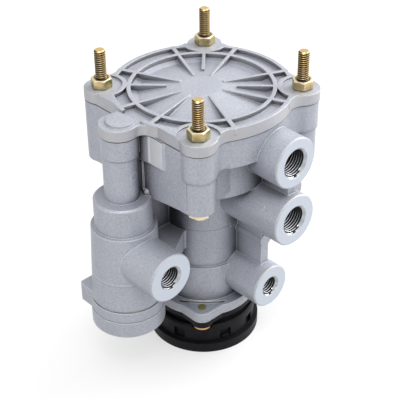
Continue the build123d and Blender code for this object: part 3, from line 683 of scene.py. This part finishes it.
@dataclass(frozen=True)
class ThreadFinish:
    """Threaded metal: bright on the crests, with painted shade down in the grooves and painted
    reflections of light and dark on its sides.

    Under head_top, in millimetres, it is the plain head of a bolt.
    """

    name: str
    crest: Colour
    # Painted shade in the roots, and painted reflections of light and dark on the sides.
    root: Colour
    shade: Colour
    roughness: float
    head: Tint = Tint((0.74, 0.63, 0.43))
    head_top: float = -1000.0
    mirror_size: float = 0.55
    mirror_band: Band = (0.42, 0.58)
    groove_band: Band = (0.05, 0.4)
    side_band: Band = (0.5, 0.9)
    groove_dull: float = 0.7
    groove_rough: float = 0.4

    def material(self) -> bpy.types.Material:
        """Builds the material."""
        paint = Paint(self.name)
        mirrored = paint.facing(self.mirror_size).ramp(*self.mirror_band)
        # The groove value paints shade down in the roots.
        groove = paint.attribute(GROOVE).ramp(*self.groove_band)
        _, _, z = paint.axes()
        side = paint.wall(self.side_band)
        base = paint.mix(self.crest, self.shade, mirrored * side)
        base = paint.mix(base, self.root, groove)
        base = paint.tint(base, self.head, z.below(self.head_top * MM))
        return paint.finish(
            {
                "Base Color": base,
                "Metallic": 1.0 - groove * self.groove_dull,
                "Roughness": groove * self.groove_rough + self.roughness,
            }
        )


@dataclass(frozen=True)
class PlainFinish:
    """A finish of nearly one colour with a fine grain, for mouldings, rubber and inner parts.

    Sizes are in metres.
    """

    name: str
    colour: Colour
    shade: Colour
    metallic: float
    roughness: float
    specular: float = 0.5
    drift_size: float = 0.006
    drift_band: Band = (0.35, 0.65)
    grain_size: float = 0.0005
    relief: float = 0.00001
    edge_r: float = 0.0004

    def material(self) -> bpy.types.Material:
        """Builds the material."""
        paint = Paint(self.name)
        normal, edge = paint.rounded(self.edge_r)
        drift = paint.noise(self.drift_size, 3.0, 0.6)
        grain = paint.noise(self.grain_size, 2.0, 0.6)
        return paint.finish(
            {
                "Base Color": paint.mix(self.colour, self.shade, drift.ramp(*self.drift_band)),
                "Metallic": self.metallic,
                "Specular IOR Level": self.specular,
                "Roughness": self.roughness + grain * 0.08 - edge * 0.06,
                "Normal": paint.bump(grain, self.relief, normal),
            }
        )


FINISHES = (
    CastSkin(),
    YellowZinc(),
    ThreadFinish("cut_thread", (0.90, 0.93, 0.98), (0.004, 0.004, 0.005), (0.72, 0.75, 0.80), 0.25),
    ThreadFinish(
        "rolled_thread", (0.70, 0.50, 0.22), (0.008, 0.004, 0.001), (0.20, 0.10, 0.03), 0.25,
        head_top=-50.0,
    ),
    PlainFinish("black_plastic", (0.008, 0.008, 0.010), (0.012, 0.012, 0.014), 0.0, 0.42, 0.12),
    PlainFinish("rubber", (0.02, 0.02, 0.02), (0.03, 0.03, 0.03), 0.0, 0.7, 0.2),
    PlainFinish("piston_alloy", (0.66, 0.67, 0.69), (0.58, 0.59, 0.62), 1.0, 0.35),
    PlainFinish("spring_steel", (0.45, 0.45, 0.47), (0.36, 0.36, 0.38), 1.0, 0.35),
    PlainFinish("guide_plastic", (0.05, 0.05, 0.055), (0.07, 0.07, 0.075), 0.0, 0.45, 0.3),
)


def sheet_object(
    name: str, grids: list[np.ndarray], material: bpy.types.Material
) -> bpy.types.Object:
    """Makes one object of several grids of points, whose shared borders are merged.

    Args:
        name: the piece's name.
        grids: arrays of rows by columns by 4: the place in metres, and the depth of the groove
            there from 0 to 1.
        material: the finish.

    Returns:
        The object, at the origin.
    """
    points, faces, start = [], [], 0
    for grid in grids:
        rows, columns = grid.shape[:2]
        index = start + np.arange(rows * columns).reshape(rows, columns)
        corners = (index[:-1, :-1], index[:-1, 1:], index[1:, 1:], index[1:, :-1])
        points.append(grid.reshape(-1, 4))
        faces.append(np.stack(corners, axis=-1).reshape(-1, 4))
        start += rows * columns
    table = np.concatenate(points)
    mesh = bpy.data.meshes.new(name)
    mesh.from_pydata(table[:, :3].tolist(), [], np.concatenate(faces).tolist())
    groove = mesh.attributes.new(GROOVE, "FLOAT", "POINT")
    groove.data.foreach_set("value", table[:, 3].astype(np.float32))
    merge_and_face_out(mesh)
    mesh.materials.append(material)
    return add_object(name, mesh)


def add_object(name: str, data: Any) -> bpy.types.Object:
    """Puts a mesh, lamp or camera into the scene as an object at the origin."""
    obj = bpy.data.objects.new(name, data)
    bpy.context.scene.collection.objects.link(obj)
    return obj


def merge_and_face_out(
    mesh: bpy.types.Mesh, same_place: float = 2e-7, no_length: float = 1e-7
) -> None:
    """Merges points that lie on each other, drops faces without area and turns the rest outwards.

    Args:
        mesh: the mesh, changed in place.
        same_place: points nearer than this are one, in metres.
        no_length: edges shorter than this are dissolved, in metres.
    """
    work = bmesh.new()
    work.from_mesh(mesh)
    bmesh.ops.remove_doubles(work, verts=work.verts, dist=same_place)
    bmesh.ops.dissolve_degenerate(work, edges=work.edges, dist=no_length)
    bmesh.ops.recalc_face_normals(work, faces=work.faces)
    work.to_mesh(mesh)
    work.free()
    mesh.update()


def full_turn(steps: int) -> np.ndarray:
    """Angles of a full turn, its start and its end both there."""
    return np.linspace(0, 2 * math.pi, steps + 1)


def around_z(
    radius: np.ndarray, angle: np.ndarray, height: np.ndarray, groove: np.ndarray
) -> np.ndarray:
    """Grid of the points at each radius, angle and height round Z, with the groove's depth."""
    return np.stack([radius * np.cos(angle), radius * np.sin(angle), height, groove], axis=-1)


def revolve(profile: np.ndarray, steps: int) -> np.ndarray:
    """Grid of a profile carried round the Z axis: (r cos t, r sin t, z) for each (r, z).

    Args:
        profile: array of radius and height pairs.
        steps: number of steps round.

    Returns:
        The grid, one row per profile point, without groove.
    """
    angle = full_turn(steps)
    radius, height = profile[:, :1], profile[:, 1:] + 0 * angle
    return around_z(radius, angle, height, 0 * height)


def hexagon_post(across: float, profile: np.ndarray, steps: int, turn_by: float) -> np.ndarray:
    """Grid of a hexagonal post cut back by a turned profile.

    The radius at angle t is the smaller of the profile's radius and the flat's distance
    (across / 2) / cos(angle from the middle of the flat).

    Args:
        across: width across flats.
        profile: array of radius and height pairs.
        steps: number of steps round.
        turn_by: angle of the first flat, in degrees.

    Returns:
        The grid, one row per profile point, without groove.
    """
    turn = full_turn(steps)
    off_flat = np.mod(turn + math.pi / 6, math.pi / 3) - math.pi / 6
    radius = np.minimum(profile[:, :1], (across / 2) / np.cos(off_flat))
    height = profile[:, 1:] + 0 * turn
    return around_z(radius, turn + math.radians(turn_by), height, 0 * height)


def placed(grids: list[np.ndarray], matrix: Matrix) -> list[np.ndarray]:
    """The grids turned and moved by a matrix."""
    turn = np.array(matrix.to_3x3())
    move = np.array(matrix.translation)
    return [
        np.concatenate([grid[..., :3] @ turn.T + move, grid[..., 3:]], axis=-1) for grid in grids
    ]


@dataclass(frozen=True)
class Thread:
    """A screw thread between two heights on the Z axis, in millimetres.

    The surface is a strip one pitch wide that climbs round the axis. Its profile is a trapezium:
    a short crest, a flank, a short root and a flank. The radius is then held inside, or for a hole
    outside, a cone at each end. Its groove value is painted as shade in the roots, and top_shade
    adds painted shade on the side of the thread at a quarter turn.
    """

    crest_r: float
    root_r: float
    pitch: float
    low: float
    high: float
    low_r: float
    high_r: float
    steps: int = 60
    flat_share: float = 0.07
    cone_groove: float = 0.0
    top_shade: float = 0.0

    def grid(self) -> np.ndarray:
        """Grid of the strip: rows along the helix, columns across one pitch, with the groove."""
        turns = math.ceil((self.high - self.low) / self.pitch) + 2
        along = (np.arange(turns * self.steps + 1) / self.steps)[:, None]
        across = np.array([0.0, self.flat_share, 0.5, 0.5 + self.flat_share, 1.0]) * self.pitch
        height = self.low - self.pitch + along * self.pitch + across[None, :]
        up, down = (height - self.low).clip(0), (self.high - height).clip(0)
        crest, root = self.crest_r, self.root_r
        free = np.array([crest, crest, root, root, crest])[None, :] + 0 * height
        if crest > root:
            wall = np.minimum(free, np.minimum(self.low_r + up, self.high_r + down))
        else:
            wall = np.maximum(free, np.maximum(self.low_r - up, self.high_r - down))
        angle = 2 * math.pi * along + 0 * height
        groove = (wall - crest) / (root - crest) + self.top_shade * (0.5 + 0.5 * np.sin(angle))
        groove = np.where(wall == free, groove, self.cone_groove)
        return around_z(wall, angle, height.clip(self.low, self.high), groove)


@dataclass(frozen=True)
class CoverBolts:
    """The four cover bolts in millimetres: hexagon heads, shanks, rolled threads, chamfered ends.

    The heads are turned by head_turn degrees, so that they don't all show a flat to the front.
    """

    across_flats: float = 13.0
    head_top: float = -60.8
    head_height: float = 5.8
    head_overhang: float = 1.1
    head_chamfer_height: float = 0.9
    head_chamfer: float = 0.4
    shank_r: float = 3.8
    thread_r: float = 4.0
    thread_root_r: float = 3.3
    thread_pitch: float = 1.57
    thread_low: float = -14.0
    tip: float = 20.8
    head_turn: float = 12.0
    head_steps: int = 72
    end_chamfer: float = 0.9
    centre_r: float = 1e-4

    def grids(self) -> list[np.ndarray]:
        """Grids of one bolt on the Z axis: thread with its end discs, shank, and head."""
        end_r = self.thread_r - self.end_chamfer
        crest, root = self.thread_r, self.thread_root_r
        thread = Thread(crest, root, self.thread_pitch, self.thread_low, self.tip, end_r, end_r)
        core, low = self.centre_r, self.head_top - self.head_height
        flat = self.across_flats / 2
        ends = [
            revolve(np.array([[core, z], [end_r, z]]), thread.steps)
            for z in (self.thread_low, self.tip)
        ]
        shank = np.array(
            [
                [core, self.thread_low], [self.shank_r, self.thread_low],
                [self.shank_r, self.head_top], [core, self.head_top],
            ]
        )
        head = np.array(
            [
                [core, self.head_top], [flat + self.head_overhang, self.head_top],
                [flat + self.head_overhang, low + self.head_chamfer_height],
                [flat - self.head_chamfer, low], [core, low],
            ]
        )
        return [
            thread.grid(),
            *ends,
            revolve(shank, thread.steps),
            hexagon_post(self.across_flats, head, self.head_steps, self.head_turn),
        ]

    def build(self, material: bpy.types.Material) -> bpy.types.Object:
        """Makes the four bolts as one piece that stands for the CAD bolts."""
        half = BOLT_HALF_PITCH
        grids = []
        for x in (-half, half):
            for y in (-half, half):
                move = Matrix.Translation(Vector((x, y, 0)) * MM) @ Matrix.Scale(MM, 4)
                grids += placed(self.grids(), move)
        bolts = sheet_object("threaded_clamp_bolts", grids, material)
        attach(bolts, "casing")
        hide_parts("clamp_bolts")
        return bolts


@dataclass(frozen=True)
class PortThreads:
    """The cut threads in the five ports, each behind a bright lead chamfer, in millimetres."""

    pitch: float = 1.97
    depth: float = 1.0
    length: float = 13.5
    lead: float = 1.0
    skin: float = 0.03
    top_shade: float = 0.45
    cone_groove: float = 0.21

    def build(self, material: bpy.types.Material) -> list[bpy.types.Object]:
        """Makes one threaded sleeve for each port, lying just inside the wall of its hole."""
        made = []
        for port in PORTS:
            wall_r = port.thread_r - self.skin
            mouth_r = wall_r + self.lead
            foot_r = wall_r - 2 * self.skin
            edge_r = mouth_r - 2 * self.skin
            thread = Thread(
                port.thread_r - self.depth, foot_r, self.pitch, -self.length, 0.0, foot_r, edge_r,
                cone_groove=self.cone_groove, top_shade=self.top_shade,
            )
            back = np.array(
                [
                    [foot_r, -self.length], [wall_r, -self.length], [wall_r, -self.lead],
                    [mouth_r, 0.0], [edge_r, 0.0],
                ]
            )
            grids = placed([thread.grid(), revolve(back, thread.steps)], port.matrix())
            sleeve = sheet_object(f"port_thread_{port.name}", grids, material)
            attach(sleeve, "casing")
            made.append(sleeve)
        return made


@dataclass(frozen=True)
class CoilSpring:
    """A spring of square wire between two heights, in millimetres."""

    node: str
    body: str
    radius: float
    wire: float
    low: float
    high: float
    turns: float
    x: float = 0.0
    y: float = 0.0
    steps: int = 36

    def grids(self) -> list[np.ndarray]:
        """Grids of the wire and of its two ends.

        At angle t the middle of the wire is at the spring's radius and at the height
        low + (high - low) * t / (2 pi turns). The section's corners lie half a wire off in and
        out, up and down.
        """
        turn = np.linspace(0, 2 * math.pi * self.turns, round(self.turns * self.steps) + 1)[:, None]
        half = self.wire / 2
        radius = self.radius + np.array([-half, half, half, -half, -half]) + 0 * turn
        middle = self.low + (self.high - self.low) * turn / turn[-1]
        height = middle + np.array([-half, -half, half, half, -half])
        wire = around_z(radius, turn, height, 0 * height) + np.array([self.x, self.y, 0.0, 0.0])
        ends = [wire[row, [0, 1, 3, 2]].reshape(2, 2, 4) for row in (0, -1)]
        return [wire, *ends]

    def build(self, material: bpy.types.Material) -> bpy.types.Object:
        """Makes the spring between the casting and what it lifts, in place of its CAD node."""
        grids = placed(self.grids(), Matrix.Scale(MM, 4))
        spring = sheet_object(f"wound_{self.node}", grids, material)
        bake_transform(spring)
        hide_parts(self.node)
        return spring


SPRINGS = (
    CoilSpring("piston_spring", "upper_piston", 32.0, 3.0, -52.8, -21.8, 2.5),
    CoilSpring("valve_spring", "inlet_valve", 17.0, 2.2, -140.7, -111.8, 3.5),
    CoilSpring("side_spring", "side_piston", 9.5, 2.2, -150.2, -102.7, 4.5, *SIDE_AXIS),
)


@dataclass(frozen=True)
class Lamp:
    """A square lamp that faces the middle of the valve, in metres and watts.

    spread is the share of it that lights matt surfaces. Glossy ones always see all of it.
    """

    name: str
    place: Place
    size: float
    power: float
    spread: float = 1.0
    aim: Place = (0.0, 0.0, -0.09)

    def build(self) -> None:
        """Hangs the lamp."""
        data = bpy.data.lights.new(self.name, "AREA")
        data.size = self.size
        data.energy = self.power
        data.diffuse_factor = self.spread
        obj = add_object(self.name, data)
        obj.location = self.place
        obj.rotation_mode = "QUATERNION"
        obj.rotation_quaternion = (Vector(self.aim) - Vector(self.place)).to_track_quat("-Z", "Y")


LAMPS = (
    Lamp("key", (-0.5, -0.5, 1.2), 1.0, 5.0),
    Lamp("left", (-1.3, -0.1, 0.3), 1.0, 4.5),
    Lamp("right_high", (0.9, -0.2, 0.9), 1.0, 12.0),
    Lamp("right_front", (0.75, -1.2, 0.4), 1.0, 3.0),
    Lamp("right", (1.3, -0.5, 0.3), 0.8, 6.0),
    Lamp("front", (-0.1, -1.3, 0.5), 1.0, 1.5),
    Lamp("glint", (-0.6, -0.6, 1.2), 0.3, 3.0, spread=0.1),
)
BACKGROUND_RAYS = ("Is Camera Ray", "Is Glossy Ray", "Is Transmission Ray")


@dataclass(frozen=True)
class Studio:
    """Floor, world, lamps and camera. Sizes are in metres, angles in degrees, the lens in mm."""

    camera_place: Place = (-0.4562, -0.4896, 0.3477)
    azimuth: float = -42.801
    elevation: float = 33.785
    roll: float = -0.627
    lens: float = 99.22
    sensor: float = 36.0
    clip: Band = (0.01, 20.0)
    floor_half: float = 3.0
    world_level: float = 0.06
    floor_shade: float = 0.35
    floor_glow: float = 0.84
    far_glow: float = 0.04
    far: Band = (0.15, 1.2)
    contact_shadow: float = 0.42
    contact_shadow_reach: float = 0.13

    def floor(self) -> None:
        """Pale floor under the guard ring, white to the camera but for the soft shadow: the lamps'
        real shadow, and a painted shadow where its glow dims near the valve.
        """
        height = float(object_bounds()[0].z)
        half = self.floor_half
        mesh = bpy.data.meshes.new("floor")
        square = ((-half, -half), (half, -half), (half, half), (-half, half))
        corners = [(x, y, height) for x, y in square]
        mesh.from_pydata(corners, [], [(0, 1, 2, 3)])
        obj = add_object("floor", mesh)
        paint = Paint("floor")
        path = paint.node("ShaderNodeLightPath", {}, {})
        camera, glossy, through = (Channel(paint, path.outputs[ray]) for ray in BACKGROUND_RAYS)
        seen = camera.most(glossy).most(through)
        plain = paint.node("ShaderNodeBsdfDiffuse", {}, {"Color": (self.floor_shade,) * 3})
        away = paint.distance((0.0, 0.0, height / MM)).ramp(*self.far)
        level = away * self.far_glow + self.floor_glow
        # Painted shadow: the glow dims where the valve is near.
        level = level * (1.0 - paint.hollows(self.contact_shadow_reach) * self.contact_shadow)
        glow = paint.node("ShaderNodeEmission", {}, {"Color": seen * level})
        both = paint.node("ShaderNodeAddShader", {}, {0: plain.outputs[0], 1: glow.outputs[0]})
        paint.node("ShaderNodeOutputMaterial", {}, {"Surface": both.outputs[0]})
        mesh.materials.append(paint.material)
        obj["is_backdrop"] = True

    def world(self) -> None:
        """White world for the camera and for reflections, a softer level for the light it gives."""
        world = bpy.data.worlds.new("studio")
        bpy.context.scene.world = world
        world.use_nodes = True
        tree = world.node_tree
        tree.nodes.clear()
        path = tree.nodes.new("ShaderNodeLightPath")
        seen = path.outputs[BACKGROUND_RAYS[0]]
        for ray in BACKGROUND_RAYS[1:]:
            either = tree.nodes.new("ShaderNodeMath")
            either.operation = "MAXIMUM"
            tree.links.new(seen, either.inputs[0])
            tree.links.new(path.outputs[ray], either.inputs[1])
            seen = either.outputs[0]
        level = tree.nodes.new("ShaderNodeMapRange")
        tree.links.new(seen, level.inputs["Value"])
        level.inputs["To Min"].default_value = self.world_level
        level.inputs["To Max"].default_value = 1.0
        sky = tree.nodes.new("ShaderNodeBackground")
        sky.inputs["Color"].default_value = (1.0, 1.0, 1.0, 1.0)
        tree.links.new(level.outputs[0], sky.inputs["Strength"])
        out = tree.nodes.new("ShaderNodeOutputWorld")
        tree.links.new(sky.outputs[0], out.inputs["Surface"])

    def camera(self) -> None:
        """Camera at the photograph's place, its axes worked out from its three angles."""
        az, el, roll = (math.radians(angle) for angle in (self.azimuth, self.elevation, self.roll))
        back = Vector((math.sin(az) * math.cos(el), -math.cos(az) * math.cos(el), math.sin(el)))
        right = Vector((math.cos(az), math.sin(az), 0))
        up = back.cross(right)
        side = right * math.cos(roll) + up * math.sin(roll)
        top = up * math.cos(roll) - right * math.sin(roll)
        data = bpy.data.cameras.new("camera")
        data.lens = self.lens
        data.sensor_width = self.sensor
        data.clip_start, data.clip_end = self.clip
        obj = add_object("camera", data)
        turn = Matrix((side, top, back)).transposed().to_4x4()
        obj.matrix_world = Matrix.Translation(Vector(self.camera_place)) @ turn
        bpy.context.scene.camera = obj

    def build(self) -> None:
        """Sets the stage."""
        bpy.context.scene.view_settings.view_transform = "Standard"
        self.floor()
        self.world()
        for lamp in LAMPS:
            lamp.build()
        self.camera()


def dress(finishes: dict[str, bpy.types.Material]) -> int:
    """Gives each CAD node the finish that its slot in the record names.

    Args:
        finishes: material by slot name.

    Returns:
        The number of nodes dressed.
    """
    rows = frame["record"]["subparts"]
    for row in rows:
        node = frame["nodes"][row["node"]]
        for place in node.material_slots:
            place.material = finishes[row["material_slot"]]
    return len(rows)


def main() -> None:
    """Builds the finishes, the pieces and the studio in order."""
    logging.basicConfig(level=logging.INFO)
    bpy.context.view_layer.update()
    finishes = {kind.name: kind.material() for kind in FINISHES}
    log.info("dressed %d nodes", dress(finishes))
    pieces = [CoverBolts().build(finishes["rolled_thread"])]
    pieces += PortThreads().build(finishes["cut_thread"])
    pieces += [spring.build(finishes["spring_steel"]) for spring in SPRINGS]
    for piece in pieces:
        log.info("%s: %d faces", piece.name, len(piece.data.polygons))
    Studio().build()


if __name__ == "__main__":
    main()
